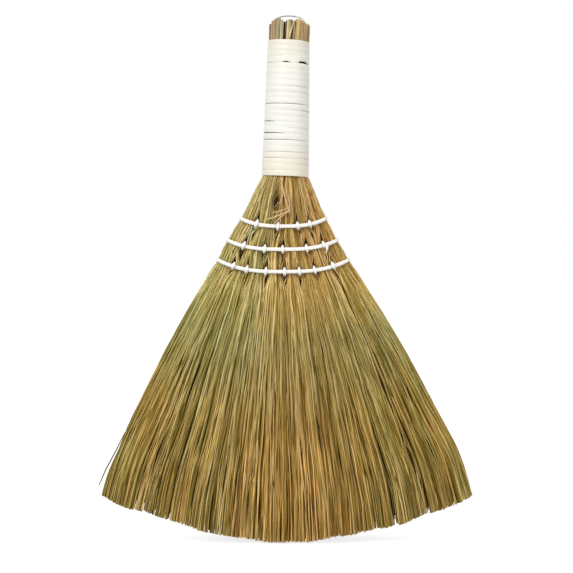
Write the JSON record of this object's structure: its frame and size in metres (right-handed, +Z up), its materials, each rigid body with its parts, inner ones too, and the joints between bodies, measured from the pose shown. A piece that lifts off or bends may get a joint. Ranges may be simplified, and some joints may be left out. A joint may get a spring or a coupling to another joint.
{
  "type": "corn broom",
  "caption": "Hand whisk broom of broomcorn: a cane-wrapped round grip opens into a flat fan held by rows of white stitching, with a wire hanging loop on top.",
  "frame": {"origin": "on the floor under the middle of the fibre tips, the broom standing upright on its tips", "axes": "+Z up the handle, +X to the right across the fan seen from the front, +Y to the back; the front faces -Y"},
  "size_m": [0.259, 0.0342, 0.369],
  "materials": {
    "broomcorn_stalk": "dry straw, matte to satin",
    "broomcorn_fibre": "dry straw, matte",
    "cane_strip": "pale peeled cane, satin",
    "stitch_cord": "smooth white cord, satin",
    "binding_wire": "dull tying wire",
    "loop_wire": "galvanised wire"
  },
  "bodies": {
    "broom": {"stalk_bunch_1": "broomcorn_stalk", "stalk_bunch_2": "broomcorn_stalk", "stalk_bunch_3": "broomcorn_stalk", "stalk_bunch_4": "broomcorn_stalk", "stalk_bunch_5": "broomcorn_stalk", "stalk_bunch_6": "broomcorn_stalk", "stalk_bunch_7": "broomcorn_stalk", "stalk_bunch_8": "broomcorn_stalk", "fibre_skirt_1": "broomcorn_fibre", "fibre_skirt_2": "broomcorn_fibre", "fibre_skirt_3": "broomcorn_fibre", "fibre_skirt_4": "broomcorn_fibre", "cane_wrap": "cane_strip", "stitch_band_1": "stitch_cord", "stitch_band_2": "stitch_cord", "stitch_band_3": "stitch_cord", "lashing_1_1": "stitch_cord", "lashing_1_2": "stitch_cord", "lashing_1_3": "stitch_cord", "lashing_1_4": "stitch_cord", "lashing_2_1": "stitch_cord", "lashing_2_2": "stitch_cord", "lashing_2_3": "stitch_cord", "lashing_2_4": "stitch_cord", "lashing_2_5": "stitch_cord", "lashing_3_1": "stitch_cord", "lashing_3_2": "stitch_cord", "lashing_3_3": "stitch_cord", "lashing_3_4": "stitch_cord", "lashing_3_5": "stitch_cord", "lashing_3_6": "stitch_cord", "lashing_3_7": "stitch_cord", "binding_neck": "binding_wire", "binding_top": "binding_wire"},
    "loop": {"hanging_loop": "loop_wire"}
  },
  "joints": [
    {"name": "loop_swing", "type": "hinge", "parent": "broom", "child": "loop", "pos_m": [0.00192, 0, 0.3572], "axis": [1, 0, 0], "range_deg": [0, 44]}
  ]
}
